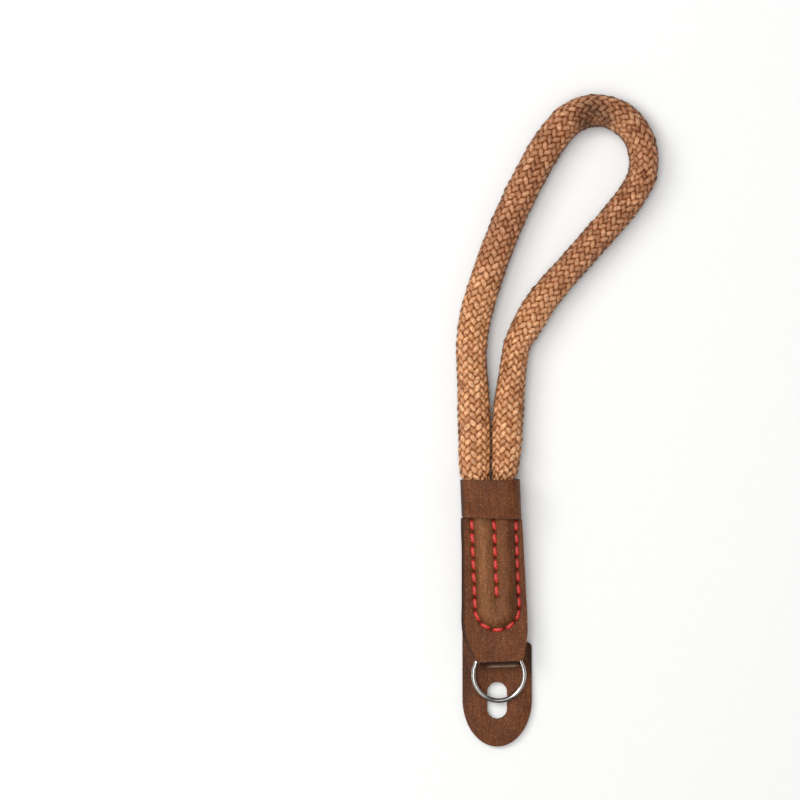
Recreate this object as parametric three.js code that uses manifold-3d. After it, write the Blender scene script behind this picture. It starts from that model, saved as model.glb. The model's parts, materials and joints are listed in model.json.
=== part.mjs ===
// Camera wrist strap: a loop of braided rope whose two ends are sewn between leather panels,
// with a keeper band round the mouth, a D-ring in the fold of the back panel and a guard pad
// under the ring. Millimetres, +Z up. The strap lies on its back on the plane z = 0, and +Y
// runs from the ring towards the loop. The hinge line of the D-ring runs along X.
import * as THREE from 'three';
import { mergeVertices } from 'three/addons/utils/BufferGeometryUtils.js';
import Module from 'manifold-3d';

const wasm = await Module();
wasm.setup();

// ---- driving dimensions ----

const GAP = 0.3; // left between pieces that touch on the real strap
const STRAP_X = 0.8; // middle line of the leather body
const LEATHER = 1.4; // wall of the two sewn panels

const CUT_OFFSET = -0.7; // the band lies this far to the left of the seam's middle line
const BAND = { top: 46.7, tall: 13.5, wall: 1.2, halfWide: 10.4, halfHigh: 7.0, corner: 5.4 };

// The band, and the tops of the panels in it, are cut a little out of square. slope: how far a
// cut runs up the strap for each millimetre to the right.
const OUT_OF_SQUARE = [
  { y: 46.7, slope: -0.03 },
  { y: 33.2, slope: -0.07 },
  { y: 20.0, slope: 0 },
];

const PAD = {
  thick: 2.0,
  halfWide: 12.15,
  straight: 19.6, // from the top edge to where the round end starts
  roundEnd: 16.6,
  slant: 4.6, // its top left corner is cut this much higher than the right one
  corner: 1.3,
  top: -11.0,
  offset: -0.4, // its top edge lies this far to the left of the strap's middle line
  turn: THREE.MathUtils.degToRad(-2.2), // the loose pad lies a little askew
};
const SLOT = { halfWide: 3.5, length: 12.9, middle: 20.05 };

const WIRE = 0.8; // radius of the D-ring's wire
const BAR_Y = -16.7;
const FOLD_IN = WIRE + GAP; // radius of the fold round the bar, inside and outside
const FOLD_OUT = FOLD_IN + LEATHER;
const BAR_Z = PAD.thick + GAP + FOLD_OUT;
const RING = { halfBar: 7.9, halfWide: 8.9, leg: 5.0, bow: 9.4 };
const RING_SLIP = -0.3; // the ring has slid this far to the left in its fold
const RING_SIDES = 10;
const RING_STEPS = 44;
const BOW_POINTS = 16;

// The rope from one end to the other: x, y, z of its middle, then how wide and how tall it is.
const ROPE_WIDTH = 10.8;
const ROUTE = [
  // x, y, z, wide, tall
  [-2.95, 0, 5.6, 4.6, 5.0],
  [-2.95, 12, 6.1, 5.8, 6.3],
  [-3.0, 31, 6.85, 5.6, 6.3],
  [-3.5, 39.4, 7.0, 7.2, 6.9],
  [-4.05, 46.9, 6.95, 8.6, 10.0],
  [-4.75, 49.4, 6.75, 10.2, 10.3],
  [-4.92, 53, 6.4, 10.8, 10.5],
  [-4.75, 58, 6.0, 11.0, 10.6],
  [-4.55, 66, 5.5, 11.2, 10.6],
  [-4.5, 78, 5.4, 10.8, 10.6],
  [-4.5, 92, 5.4, 10.4, 10.6],
  [-2.6, 104, 5.4, 11.0, 10.6],
  [1.4, 116, 5.4, 11.0, 10.6],
  [6.2, 128, 5.4, 11.0, 10.6],
  [11.7, 140, 5.4, 11.0, 10.6],
  [18.6, 152.5, 5.4, 11.0, 10.6],
  [25.9, 164, 5.4, 11.1, 10.6],
  [33.5, 171.6, 5.4, 11.2, 10.6],
  [42.2, 174.2, 5.4, 11.2, 10.6],
  [50.3, 171.8, 5.4, 11.0, 10.6],
  [56, 165.8, 5.4, 10.5, 10.6],
  [58.4, 158, 5.4, 10.1, 10.6],
  [57.5, 150.5, 5.4, 10.0, 10.6],
  [53.5, 143.8, 5.4, 10.0, 10.6],
  [46.5, 135.5, 5.4, 10.0, 10.6],
  [38, 126.7, 5.4, 10.0, 10.6],
  [29.5, 117.8, 5.4, 10.0, 10.6],
  [21.9, 109.6, 5.4, 10.5, 10.6],
  [16, 101.2, 5.4, 10.4, 10.6],
  [11.5, 93, 5.4, 9.2, 10.6],
  [9.3, 82, 5.4, 9.5, 10.6],
  [7.65, 71.5, 5.4, 10.6, 10.6],
  [6.85, 64, 5.65, 10.7, 10.6],
  [6.3, 58, 6.0, 10.4, 10.6],
  [5.75, 53, 6.4, 9.8, 10.5],
  [5.28, 49.4, 6.75, 9.0, 10.3],
  [4.8, 46.9, 6.95, 7.9, 9.9],
  [4.85, 39.4, 7.0, 7.2, 6.9],
  [4.6, 31, 6.85, 5.6, 6.3],
  [4.55, 12, 6.1, 5.8, 6.3],
  [4.55, 0, 5.6, 4.6, 5.0],
];
const ROPE_STEPS = 100;
const ROPE_SIDES = 12;
const CORNER_STEPS = 8; // faces round a corner of the keeper band
const PAD_STEPS = 16; // faces round an end of the guard pad's slot

// The sewn body at places along its length. half: half its width. shift: how far the cut
// outline is moved sideways. lip: how far the back panel stands out past the front one on the
// left. mid: height of the plane between the panels. split: from that plane to a panel's inner
// face at the flat margin. crown: the same at the top of a ridge over a rope end. ridge, foot:
// how far a ridge's top and the seam at its foot lie from the middle line. groove: height left
// between the ridges, as a share.
const RIDGE = 3.75;
const FOOT = 7.6;
const LIP = 0.5;
const SEWN = { lip: LIP, split: 0.15, ridge: RIDGE, foot: FOOT };
const FLAT = { lip: LIP, ridge: RIDGE, foot: FOOT, groove: 1 };
const IN_BAND = { ...SEWN, lip: 0, half: 8.8, shift: CUT_OFFSET, groove: 0.62 };
const NECKED = { ...FLAT, lip: 0 };
const BODY = [
  { ...IN_BAND, y: 39.2, mid: 7.0, crown: 3.95, ridge: 4.3, foot: 8.6 },
  { ...IN_BAND, y: 32.95, mid: 6.95, crown: 3.75, ridge: 4.0, foot: 8.0 },
  { ...SEWN, y: 32.85, half: 10.4, shift: -0.5, mid: 6.94, crown: 3.74, ridge: 4, foot: 8, groove: 0.62 },
  { ...SEWN, y: 20.0, half: 10.65, shift: -0.55, mid: 6.45, crown: 3.55, groove: 0.62 },
  { ...SEWN, y: 7.0, half: 10.95, shift: -0.7, mid: 5.9, crown: 3.5, groove: 0.65 },
  { ...SEWN, y: 1.8, half: 11.15, shift: -0.75, mid: 5.7, crown: 3.4, groove: 0.8 },
  { ...SEWN, y: -2.3, half: 11.25, shift: -0.85, mid: 5.55, split: 0.3, crown: 3.3, groove: 0.95 },
  { ...FLAT, y: -5.6, half: 11.2, shift: -0.82, mid: 5.4, split: 0.9, crown: 3.0 },
  { ...FLAT, y: -7.5, half: 10.95, shift: -0.75, mid: 5.3, split: 1.0, crown: 1.0 },
  { ...NECKED, y: -11.2, half: 10.2, shift: -0.6, mid: 5.25, split: 1.3, crown: 1.3 },
  { ...NECKED, y: -14.0, half: 9.25, shift: -0.25, mid: 5.45, split: 1.7, crown: 1.7 },
  { ...NECKED, y: -15.2, half: 8.85, shift: -0.05, mid: 5.6, split: 1.95, crown: 1.95 },
  { ...NECKED, y: -16.2, half: 8.4, shift: 0, mid: 5.7, split: 2.05, crown: 2.05 },
  { ...NECKED, y: -16.9, half: 7.7, shift: 0, mid: 5.75, split: 2.1, crown: 2.1 },
];
const SEAM_ROUND_Y = 1.8; // below this the seam runs round the rope ends in a half circle
const BODY_STATIONS = [
  39.2, 36, 32.95, 32.85, 29, 25, 20, 13.5, 7, 4, 1.8, 0.6, -0.7, -2, -3.2, -4.3, -5.2, -6.2,
  -7.5, -9.5, -11.2, -12.6, -14, -14.8,
];
const FRONT_END = [-15.4, -16.2, -16.9];
const INNER_FALL = 0.75; // how squarely a ridge falls to the seam, inside and outside
const OUTER_FALL = 0.85;
const ACROSS = 24; // faces across a panel

// Half width of the back panel where it narrows to pass through the ring, and the top face of
// the flap that comes back over the bar and ends between the panels.
const NECK = [
  { y: -11.2, half: 10.2, shift: -0.6 },
  { y: -12.6, half: 9.1, shift: -0.3 },
  { y: -14.0, half: 7.6, shift: 0 },
  { y: -14.8, half: 6.8, shift: 0 },
];
const FLAP = [
  { y: BAR_Y, top: BAR_Z + FOLD_OUT },
  { y: -15.4, top: 7.2 },
  { y: -14.4, top: 6.95 },
  { y: -13.2, top: 6.6 },
  { y: -11.8, top: 6.3 },
  { y: -10.0, top: 6.1 },
  { y: -7.8, top: 5.98 },
];
const FOLD_STEPS = 8;

// ---- helpers ----

// A table's row at a place between its rows, which run down in y.
function rowAt(table, y) {
  let k = 1;
  while (k < table.length - 1 && table[k].y > y) k++;
  const above = table[k - 1];
  const below = table[k];
  const share = THREE.MathUtils.clamp((above.y - y) / (above.y - below.y), 0, 1);
  const row = {};
  for (const name of Object.keys(above)) {
    row[name] = THREE.MathUtils.lerp(above[name], below[name], share);
  }
  return row;
}

// A closed solid through rows of points. Each row is a loop that goes across the outer face
// and back across the inner face, and the first and last rows are closed by a strip.
function loftGeometry(rows) {
  const around = rows[0].length;
  const index = [];
  const quad = (a, b, c, d) => index.push(a, b, c, a, c, d);
  for (let j = 0; j < rows.length - 1; j++) {
    for (let k = 0; k < around; k++) {
      const next = (k + 1) % around;
      quad(j * around + k, (j + 1) * around + k, (j + 1) * around + next, j * around + next);
    }
  }
  const last = (rows.length - 1) * around;
  for (let k = 0; k < around / 2 - 1; k++) {
    quad(k, k + 1, around - 2 - k, around - 1 - k);
    quad(last + k, last + around - 1 - k, last + around - 2 - k, last + k + 1);
  }
  const geometry = new THREE.BufferGeometry().setFromPoints(rows.flat());
  geometry.setIndex(index);
  geometry.computeVertexNormals();
  return geometry;
}

// One row of a leather sheet. y and z are its place, half and shift its width and where that
// is centred, out is the way its outer face looks, and inner(x) and outer(x) are the heights of
// its faces along out. side is the sign of out.z where the sheet starts, which keeps the faces
// of both panels pointing outwards.
function sheetRow({ y, z, half, shift, out, inner, outer, side }) {
  const row = [];
  const add = (x, height) => {
    row.push(new THREE.Vector3(x, y + out.y * height, z + out.z * height));
  };
  const places = Array.from(
    { length: ACROSS + 1 },
    (_, k) => shift + side * half * ((2 * k) / ACROSS - 1),
  );
  for (const x of places) add(x, outer(x));
  for (const x of places.reverse()) add(x, inner(x));
  return row;
}

// Slants what lies near the mouth to match the cuts. left and up: where the geometry's own
// origin is put in the strap.
function outOfSquare(geometry, left = 0, up = 0) {
  const places = geometry.getAttribute('position');
  for (let k = 0; k < places.count; k++) {
    const y = places.getY(k);
    const { slope } = rowAt(OUT_OF_SQUARE, y + up);
    places.setY(k, y + slope * (places.getX(k) + left));
  }
  geometry.computeVertexNormals();
  return geometry;
}

function toSolid(geometry) {
  const bare = geometry.clone();
  bare.deleteAttribute('normal');
  bare.deleteAttribute('uv');
  const merged = mergeVertices(bare, 1e-4);
  return new wasm.Manifold(new wasm.Mesh({
    numProp: 3,
    vertProperties: merged.getAttribute('position').array,
    triVerts: new Uint32Array(merged.index.array),
  }));
}

function toGeometry(solid) {
  const { vertProperties, triVerts } = solid.getMesh();
  const geometry = new THREE.BufferGeometry();
  geometry.setAttribute('position', new THREE.BufferAttribute(vertProperties, 3));
  geometry.setIndex(new THREE.BufferAttribute(triVerts, 1));
  geometry.computeVertexNormals();
  return geometry;
}

// ---- the rope ----

// The section is a regular polygon pushed along the route, then drawn in or out at each step
// to the width and height that the rope has there.
function ropeGeometry() {
  const path = new THREE.CatmullRomCurve3(ROUTE.map(([x, y, z]) => new THREE.Vector3(x, y, z)));
  const sizes = new THREE.CatmullRomCurve3(
    ROUTE.map(([, , , wide, tall]) => new THREE.Vector3(wide, wide, tall)),
  );
  const corners = Array.from({ length: ROPE_SIDES }, (_, k) => {
    const angle = (2 * Math.PI * k) / ROPE_SIDES;
    return new THREE.Vector2(Math.cos(angle), Math.sin(angle)).multiplyScalar(ROPE_WIDTH / 2);
  });
  const tube = new THREE.ExtrudeGeometry(new THREE.Shape(corners), {
    steps: ROPE_STEPS,
    extrudePath: path,
    bevelEnabled: false,
  });
  const rings = path.getSpacedPoints(ROPE_STEPS).map((middle, step) => ({
    middle,
    scale: sizes.getPoint(path.getUtoTmapping(step / ROPE_STEPS)).divideScalar(ROPE_WIDTH),
  }));
  const places = tube.getAttribute('position');
  const corner = new THREE.Vector3();
  for (let i = 0; i < places.count; i++) {
    corner.fromBufferAttribute(places, i);
    let own = rings[0];
    for (const ring of rings) {
      if (ring.middle.distanceToSquared(corner) < own.middle.distanceToSquared(corner)) own = ring;
    }
    corner.sub(own.middle).multiply(own.scale).add(own.middle);
    places.setXYZ(i, corner.x, corner.y, corner.z);
  }
  tube.computeVertexNormals();
  return tube;
}

// ---- the leather ----

// Share of a ridge's full height over the point (x, y) of the body.
function ridgeShare(x, y, row, fall) {
  const reach = y < SEAM_ROUND_Y ? Math.hypot(x, y - SEAM_ROUND_Y) : Math.abs(x);
  const past = THREE.MathUtils.clamp((reach - row.ridge) / (row.foot - row.ridge), 0, 1);
  const inward = Math.max(0, 1 - Math.abs(x) / row.ridge);
  const between = 1 - (1 - row.groove) * inward * inward;
  return Math.cos((past * Math.PI) / 2) ** fall * between;
}

function bodyRow(y, side, outline) {
  const row = rowAt(BODY, y);
  const rise = row.crown - row.split;
  const { half, shift } = outline ?? row;
  return sheetRow({
    y,
    z: row.mid,
    half,
    shift,
    out: { y: 0, z: side },
    inner: (x) => row.split + rise * ridgeShare(x, y, row, INNER_FALL),
    outer: (x) => row.split + LEATHER + rise * ridgeShare(x, y, row, OUTER_FALL),
    side,
  });
}

function frontPanelGeometry() {
  return outOfSquare(loftGeometry([...BODY_STATIONS, ...FRONT_END].map((y) => bodyRow(y, 1))));
}

// The back panel follows the body, narrows at the neck, folds round the ring's bar and comes
// back as a short flap under the front panel.
function backPanelGeometry() {
  const neckEnd = NECK[NECK.length - 1];
  const outlineAt = (y) => {
    if (y < NECK[0].y) return rowAt(NECK, y);
    const { half, shift, lip } = rowAt(BODY, y);
    return { half: half + lip / 2, shift: shift - lip / 2 };
  };
  const rows = BODY_STATIONS.map((y) => bodyRow(y, -1, outlineAt(y)));
  const foldRow = (y, z, out) => sheetRow({
    y,
    z,
    half: neckEnd.half,
    shift: neckEnd.shift,
    out,
    inner: () => FOLD_IN,
    outer: () => FOLD_OUT,
    side: -1,
  });
  for (let step = 0; step <= FOLD_STEPS; step++) {
    const angle = (Math.PI * step) / FOLD_STEPS;
    rows.push(foldRow(BAR_Y, BAR_Z, { y: -Math.sin(angle), z: -Math.cos(angle) }));
  }
  for (const { y, top } of FLAP.slice(1)) {
    rows.push(foldRow(y, top - FOLD_OUT, { y: 0, z: 1 }));
  }
  return outOfSquare(loftGeometry(rows));
}

function roundedBox(halfWide, halfHigh, corner) {
  const shape = new THREE.Shape();
  const x = halfWide - corner;
  const z = halfHigh - corner;
  shape.absarc(x, z, corner, 0, Math.PI / 2);
  shape.absarc(-x, z, corner, Math.PI / 2, Math.PI);
  shape.absarc(-x, -z, corner, Math.PI, 1.5 * Math.PI);
  shape.absarc(x, -z, corner, 1.5 * Math.PI, 2 * Math.PI);
  shape.closePath();
  return shape;
}

// A strip of leather closed to a ring round the rope ends and the tops of both panels.
function keeperBandGeometry() {
  const { halfWide, halfHigh, corner, wall, tall } = BAND;
  const band = roundedBox(halfWide, halfHigh, corner);
  band.holes.push(roundedBox(halfWide - wall, halfHigh - wall, corner - wall));
  const options = { depth: tall, bevelEnabled: false, curveSegments: CORNER_STEPS };
  const square = new THREE.ExtrudeGeometry(band, options).rotateX(Math.PI / 2);
  return outOfSquare(square, CUT_OFFSET, BAND.top);
}

// A flat shield of leather with a square top, a round end and a slot, its top edge at y = 0.
function guardPadGeometry() {
  const { halfWide, straight, roundEnd, slant, corner, thick } = PAD;
  const pad = new THREE.Shape();
  pad.absarc(-halfWide + corner, slant - corner, corner, Math.PI / 2, Math.PI);
  pad.absellipse(0, -straight, halfWide, roundEnd, Math.PI, 2 * Math.PI, false, 0);
  pad.absarc(halfWide - corner, -corner, corner, 0, Math.PI / 2);
  pad.closePath();
  const slot = new THREE.Path();
  const reach = SLOT.length / 2 - SLOT.halfWide;
  slot.absarc(0, -SLOT.middle + reach, SLOT.halfWide, 0, Math.PI);
  slot.absarc(0, -SLOT.middle - reach, SLOT.halfWide, Math.PI, 2 * Math.PI);
  slot.closePath();
  pad.holes.push(slot);
  const options = { depth: thick, bevelEnabled: false, curveSegments: PAD_STEPS };
  return new THREE.ExtrudeGeometry(pad, options);
}

// ---- the D-ring ----

// Bent wire with its bar on the X axis: two legs that spread a little and a half ellipse,
// closed by the bar.
function dRingGeometry() {
  const legs = [new THREE.Vector3(-RING.halfBar, 0, 0)];
  const halfway = THREE.MathUtils.lerp(RING.halfBar, RING.halfWide, Math.SQRT1_2);
  legs.push(new THREE.Vector3(-halfway, -RING.leg / 2, 0));
  const points = [...legs];
  for (let k = 0; k <= BOW_POINTS; k++) {
    const angle = Math.PI + (Math.PI * k) / BOW_POINTS;
    points.push(new THREE.Vector3(
      RING.halfWide * Math.cos(angle),
      -RING.leg + RING.bow * Math.sin(angle),
      0,
    ));
  }
  for (const { x, y } of legs.reverse()) points.push(new THREE.Vector3(-x, y, 0));
  const corners = Array.from({ length: RING_SIDES }, (_, k) => {
    const angle = (2 * Math.PI * (k + 0.5)) / RING_SIDES;
    return new THREE.Vector2(Math.cos(angle), Math.sin(angle)).multiplyScalar(WIRE);
  });
  const bow = new THREE.ExtrudeGeometry(new THREE.Shape(corners), {
    steps: RING_STEPS,
    extrudePath: new THREE.CatmullRomCurve3(points),
    bevelEnabled: false,
  });
  const bar = new THREE.CylinderGeometry(WIRE, WIRE, 2 * RING.halfBar, RING_SIDES);
  let ring = toSolid(bow).add(toSolid(bar.rotateZ(Math.PI / 2)));
  for (const side of [-1, 1]) {
    const bend = new THREE.SphereGeometry(WIRE, RING_SIDES, RING_SIDES).rotateZ(Math.PI / 2);
    ring = ring.add(toSolid(bend.translate(side * RING.halfBar, 0, 0)));
  }
  return toGeometry(ring);
}

// ---- the strap ----

const LEATHER_LOOK = { color: 0x70472c, roughness: 0.62, metalness: 0 };
const ROPE_LOOK = { color: 0xb5774a, roughness: 0.7, metalness: 0 };
const STEEL_LOOK = { color: 0xc9c6c0, roughness: 0.25, metalness: 1 };

function piece(name, geometry, look) {
  const mesh = new THREE.Mesh(geometry, new THREE.MeshStandardMaterial(look));
  mesh.name = name;
  return mesh;
}

const strap = new THREE.Group();
strap.add(piece('rope_loop', ropeGeometry(), ROPE_LOOK));

const body = new THREE.Group();
body.position.x = STRAP_X;
strap.add(body);
body.add(piece('front_panel', frontPanelGeometry(), LEATHER_LOOK));
body.add(piece('back_panel', backPanelGeometry(), LEATHER_LOOK));

const band = piece('keeper_band', keeperBandGeometry(), LEATHER_LOOK);
band.position.set(CUT_OFFSET, BAND.top, BAND.halfHigh);
body.add(band);

const pad = piece('guard_pad', guardPadGeometry(), LEATHER_LOOK);
pad.position.set(PAD.offset, PAD.top, 0);
pad.rotation.z = PAD.turn;
body.add(pad);

// At rest the ring leans down from its bar until its bow lies on the pad.
const ring = piece('d_ring', dRingGeometry(), STEEL_LOOK);
const bowDrop = BAR_Z - (PAD.thick + GAP + WIRE);
ring.position.set(RING_SLIP, BAR_Y, BAR_Z);
ring.rotation.x = Math.asin(bowDrop / (RING.leg + RING.bow));
body.add(ring);

export default strap;
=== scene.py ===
import json
import math

import bmesh
import bpy
import numpy as np
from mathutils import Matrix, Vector, noise


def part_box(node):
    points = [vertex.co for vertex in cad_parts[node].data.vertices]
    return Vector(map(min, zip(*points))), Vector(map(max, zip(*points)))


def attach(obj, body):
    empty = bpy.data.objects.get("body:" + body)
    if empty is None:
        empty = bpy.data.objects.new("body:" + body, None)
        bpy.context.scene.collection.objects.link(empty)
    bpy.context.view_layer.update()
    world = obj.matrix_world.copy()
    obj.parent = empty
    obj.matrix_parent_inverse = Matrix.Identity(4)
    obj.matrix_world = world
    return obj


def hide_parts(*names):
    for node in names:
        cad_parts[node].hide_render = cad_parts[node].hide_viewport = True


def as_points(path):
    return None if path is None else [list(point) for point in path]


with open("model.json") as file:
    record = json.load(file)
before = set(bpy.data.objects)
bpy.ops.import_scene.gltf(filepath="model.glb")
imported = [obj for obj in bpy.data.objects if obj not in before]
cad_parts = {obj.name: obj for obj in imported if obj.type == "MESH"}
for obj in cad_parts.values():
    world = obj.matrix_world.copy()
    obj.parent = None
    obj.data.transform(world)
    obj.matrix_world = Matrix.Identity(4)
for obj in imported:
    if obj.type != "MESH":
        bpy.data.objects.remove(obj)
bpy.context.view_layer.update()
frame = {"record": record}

# ---- camera ----
# The strap lies on a table and is looked at from straight above with a long lens. The camera
# is turned a little, so the leather body leans to the left by the same angle.
SEEN_WIDTH = 0.28  # of the table, from one side of the view to the other
LENS, SENSOR = 150.0, 36.0
AIM_X, AIM_Y, AIM_Z = -0.0302, 0.0757, 0.005  # the middle of the view
CAMERA_TURN = math.radians(-2.3)
camera_data = bpy.data.cameras.new("view_camera")
camera_data.lens = LENS
camera_data.sensor_width = SENSOR
camera = bpy.data.objects.new("view_camera", camera_data)
camera.location = (AIM_X, AIM_Y, AIM_Z + SEEN_WIDTH * LENS / SENSOR)
camera.rotation_euler = (0, 0, CAMERA_TURN)
bpy.context.collection.objects.link(camera)
bpy.context.scene.camera = camera


# ---- rope loop ----
# One length of 11 mm rope, braided from 32 polyester yarns over a soft core, 16 laid each way.
# Each yarn passes over two and under two, so the floats stand in rows of little chevrons.
# Both ends are squeezed flat and sewn in between the leather panels.
ROUTE = 0.001 * np.array([
    # x, y, z, wide, tall, all in mm
    (-2.95, 0, 5.6, 4.6, 5.0), (-2.95, 12, 6.1, 5.8, 6.3), (-3.0, 31, 6.85, 5.6, 6.3),
    (-3.5, 39.4, 7.0, 7.2, 6.9), (-4.05, 46.9, 6.95, 8.6, 10.0), (-4.75, 49.4, 6.75, 10.2, 10.3),
    (-4.92, 53, 6.4, 10.8, 10.5), (-4.75, 58, 6.0, 11.0, 10.6), (-4.55, 66, 5.5, 11.2, 10.6),
    (-4.5, 78, 5.4, 10.8, 10.6),
    (-4.5, 92, 5.4, 10.4, 10.6), (-2.6, 104, 5.4, 11.0, 10.6), (1.4, 116, 5.4, 11.0, 10.6),
    (6.2, 128, 5.4, 11.0, 10.6), (11.7, 140, 5.4, 11.0, 10.6), (18.6, 152.5, 5.4, 11.0, 10.6),
    (25.9, 164, 5.4, 11.1, 10.6), (33.5, 171.6, 5.4, 11.2, 10.6), (42.2, 174.2, 5.4, 11.2, 10.6),
    (50.3, 171.8, 5.4, 11.0, 10.6), (56, 165.8, 5.4, 10.5, 10.6), (58.4, 158, 5.4, 10.1, 10.6),
    (57.5, 150.5, 5.4, 10.0, 10.6), (53.5, 143.8, 5.4, 10.0, 10.6), (46.5, 135.5, 5.4, 10.0, 10.6),
    (38, 126.7, 5.4, 10.0, 10.6), (29.5, 117.8, 5.4, 10.0, 10.6), (21.9, 109.6, 5.4, 10.5, 10.6),
    (16, 101.2, 5.4, 10.4, 10.6), (11.5, 93, 5.4, 9.2, 10.6), (9.3, 82, 5.4, 9.5, 10.6),
    (7.65, 71.5, 5.4, 10.6, 10.6), (6.85, 64, 5.65, 10.7, 10.6), (6.3, 58, 6.0, 10.4, 10.6),
    (5.75, 53, 6.4, 9.8, 10.5), (5.28, 49.4, 6.75, 9.0, 10.3), (4.8, 46.9, 6.95, 7.9, 9.9),
    (4.85, 39.4, 7.0, 7.2, 6.9), (4.6, 31, 6.85, 5.6, 6.3), (4.55, 12, 6.1, 5.8, 6.3),
    (4.55, 0, 5.6, 4.6, 5.0),
])
ROPE_WIDTH = 0.0108
YARNS = 16  # laid each way
PITCH = 0.044  # length of rope in which a yarn goes round once
YARN_WIDE, YARN_HIGH = 0.00168, 0.00112
CRIMP = 0.0005  # how far a yarn rises and dips from the middle of the braid
BRAID_ACROSS = 0.009  # from a yarn's middle to that of the one opposite
YARN_SIDES = 8
YARN_STEP = 0.00062  # length of rope from one ring of points to the next
UNEVEN_STEP, SPOT_STEP = 0.004, 0.0017  # lengths over which a yarn's bulk and its dye change
STRAY = 0.00007  # how far an uneven yarn strays up and down
LIFT_VARIES, BULK_SWELLS, BULK_VARIES = 0.15, 0.10, 0.05  # shares of a yarn's rise and width
FLATTENED = 0.0003  # how far the braid spreads to each side where it lies
OFF_TABLE = 0.00005  # the yarns are pressed flat where they lie
FIBRE_LAY = 0.0035  # length of yarn in which its plies go round once
PLIES = 3
DARK_PATCH_AT = (0.0413, 0.1712, 0.0100)  # inner side of the far bend, where the rope is darker


def smooth_run(knots, per_span=40):
    """Points on the centripetal Catmull-Rom curve through the knots, whose size rides along."""
    ends = 2 * knots[0] - knots[1], 2 * knots[-1] - knots[-2]
    row = np.vstack([ends[0], knots, ends[1]])
    span = np.sqrt(np.linalg.norm(np.diff(row[:, :3], axis=0), axis=1))
    share = np.linspace(0, 1, per_span, endpoint=False)[:, None]
    run = []
    for k in range(1, len(row) - 2):
        a, b, c, d = row[k - 1:k + 3]
        before, own, after = span[k - 1:k + 2]
        leave = own * ((b - a) / before - (c - a) / (before + own) + (c - b) / own)
        reach = own * ((c - b) / own - (d - b) / (own + after) + (d - c) / after)
        run.append(b + leave * share + (3 * (c - b) - 2 * leave - reach) * share ** 2
                   + (2 * (b - c) + leave + reach) * share ** 3)
    return np.vstack(run + [knots[-1:]])


rope_run = smooth_run(ROUTE)
run_length = np.append(0, np.cumsum(np.linalg.norm(np.diff(rope_run[:, :3], axis=0), axis=1)))
rope_length = float(run_length[-1])


def rope_at(steps):
    """Middle, sideways and upward directions and size of the rope at even steps along it."""
    along = np.linspace(0, rope_length, steps)
    rows = np.stack([np.interp(along, run_length, column) for column in rope_run.T], axis=1)
    middle, wide, tall = rows[:, :3], rows[:, 3], rows[:, 4]
    ahead = np.gradient(middle, axis=0)
    ahead /= np.linalg.norm(ahead, axis=1, keepdims=True)
    side = np.cross(ahead, (0, 0, 1))
    side /= np.linalg.norm(side, axis=1, keepdims=True)
    return along, middle, side, np.cross(side, ahead), wide, tall


def tube_faces(rings, sides, tubes=1):
    """Quads of closed-ended tubes whose points run round each ring, ring after ring."""
    start = np.arange(tubes)[:, None, None] * rings * sides
    ring = np.arange(rings - 1)[None, :, None] * sides
    side = np.arange(sides)[None, None, :]
    here, beside = start + ring + side, start + ring + (side + 1) % sides
    walls = np.stack([here, here + sides, beside + sides, beside], axis=-1).reshape(-1, 4)
    first = (start + side)[:, 0, :]
    caps = [list(map(int, cap)) for cap in first]
    caps += [list(map(int, cap[::-1])) for cap in first + (rings - 1) * sides]
    return walls, caps


def mesh_piece(name, points, faces, material, body="strap"):
    """A smooth-shaded object from arrays, riding on a body, with the given material."""
    mesh = bpy.data.meshes.new(name)
    mesh.from_pydata(np.reshape(points, (-1, 3)).tolist(), [], faces)
    mesh.materials.append(material)
    mesh.shade_smooth()
    made = bpy.data.objects.new(name, mesh)
    bpy.context.collection.objects.link(made)
    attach(made, body)
    return made


def linear(hex_value):
    """Linear colour with alpha from an sRGB hex value."""
    parts = [int(hex_value[k:k + 2], 16) / 255 for k in (0, 2, 4)]
    return [c / 12.92 if c <= 0.04045 else ((c + 0.055) / 1.055) ** 2.4 for c in parts] + [1.0]


def add_node(tree, kind, settings, links=()):
    """Add a node. Settings go to its own properties or, by name or number, to its inputs. By
    number, a mix of colours has its share at 0 and its colours at 6 and 7, and a map range has
    its value at 0, the range that it comes from at 1 and 2 and its new range at 3 and 4."""
    made = tree.nodes.new(kind)
    for key, value in settings.items():
        if isinstance(key, str) and hasattr(made, key):
            setattr(made, key, value)
        else:
            made.inputs[key].default_value = value
    for key, source in dict(links).items():
        tree.links.new(source, made.inputs[key])
    return made


SMOOTH = {"interpolation_type": "SMOOTHSTEP"}  # for a map range
COLOURS = {"data_type": "RGBA"}  # for a mix


def blank_material(name):
    """A new material, its tree, its output and the place on the piece, from its Object
    coordinates."""
    material = bpy.data.materials.new(name)
    material.use_nodes = True
    tree = material.node_tree
    tree.nodes.clear()
    place = add_node(tree, "ShaderNodeTexCoord", {}).outputs["Object"]
    return material, tree, add_node(tree, "ShaderNodeOutputMaterial", {}), place


def painted_masks(tree, *names):
    """The outputs of a piece's painted masks."""
    for name in names:
        yield add_node(tree, "ShaderNodeAttribute", {"attribute_name": name}).outputs["Fac"]


def plies(tree, map_name):
    """The place on a thread's own map, and a wave that rises and falls with each ply."""
    laid = add_node(tree, "ShaderNodeUVMap", {"uv_map": map_name}).outputs["UV"]
    parts = add_node(tree, "ShaderNodeSeparateXYZ", {}, {"Vector": laid})
    turns = add_node(tree, "ShaderNodeMath", {"operation": "MULTIPLY", 1: 2 * math.pi},
                     {0: parts.outputs["X"]})
    return laid, add_node(tree, "ShaderNodeMath", {"operation": "SINE"}, {0: turns.outputs[0]})


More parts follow.
